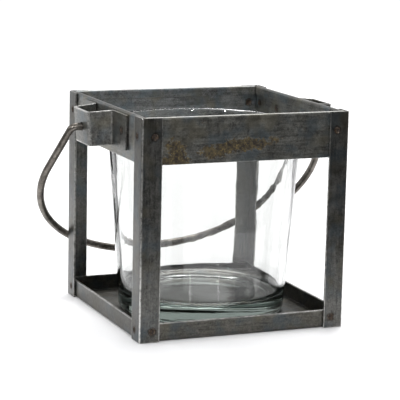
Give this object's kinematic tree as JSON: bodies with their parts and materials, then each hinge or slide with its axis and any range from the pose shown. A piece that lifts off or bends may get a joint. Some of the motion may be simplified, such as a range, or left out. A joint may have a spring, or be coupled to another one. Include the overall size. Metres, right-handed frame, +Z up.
{
  "type": "candle lantern",
  "caption": "Square open-frame candle lantern of folded sheet steel, with a swinging wire bail and a clear glass cup that lifts out.",
  "frame": {"origin": "middle of the underside of the tray, the flat face that the lantern stands on", "axes": "+X to the right along the bail's pivot axis, from bracket to bracket; +Y to the back, where the bail hangs down; +Z up, out of the glass cup"},
  "size_m": [0.1646, 0.1335, 0.115],
  "materials": {
    "galvanised_steel": "dull dark weathered zinc with fine rolling grain, worn folds and brown rust patches",
    "tray_steel": "dark weathered zinc, smoother and shinier inside",
    "bail_wire": "dull drawn wire, grey brown",
    "weld_nugget": "burnt and rusted spot weld",
    "clear_glass": "clear pressed glass, slightly green in the thick base"
  },
  "bodies": {
    "frame": {"tray": "tray_steel", "front_left_post": "galvanised_steel", "front_right_post": "galvanised_steel", "rear_left_post": "galvanised_steel", "rear_right_post": "galvanised_steel", "front_rail": "galvanised_steel", "rear_rail": "galvanised_steel", "left_rail": "galvanised_steel", "right_rail": "galvanised_steel", "left_bail_bracket": "galvanised_steel", "right_bail_bracket": "galvanised_steel", "front_left_top_front_weld": "weld_nugget", "front_left_top_side_weld": "weld_nugget", "front_left_bottom_front_weld": "weld_nugget", "front_left_bottom_side_weld": "weld_nugget", "front_right_top_front_weld": "weld_nugget", "front_right_top_side_weld": "weld_nugget", "front_right_bottom_front_weld": "weld_nugget", "front_right_bottom_side_weld": "weld_nugget", "rear_left_top_rear_weld": "weld_nugget", "rear_left_top_side_weld": "weld_nugget", "rear_left_bottom_rear_weld": "weld_nugget", "rear_left_bottom_side_weld": "weld_nugget", "rear_right_top_rear_weld": "weld_nugget", "rear_right_top_side_weld": "weld_nugget", "rear_right_bottom_rear_weld": "weld_nugget", "rear_right_bottom_side_weld": "weld_nugget", "left_bracket_front_weld": "weld_nugget", "left_bracket_rear_weld": "weld_nugget", "right_bracket_front_weld": "weld_nugget", "right_bracket_rear_weld": "weld_nugget"},
    "bail": {"bail": "bail_wire"},
    "glass": {"glass_cup": "clear_glass"}
  },
  "joints": [
    {"name": "bail_swing", "type": "hinge", "parent": "frame", "child": "bail", "pos_m": [0, 0, 0.1034], "axis": [1, 0, 0], "range_deg": [0, 277.5]},
    {"name": "glass_lift", "type": "slide", "parent": "frame", "child": "glass", "axis": [0, 0, 1], "range_m": [0, 0.12]}
  ]
}
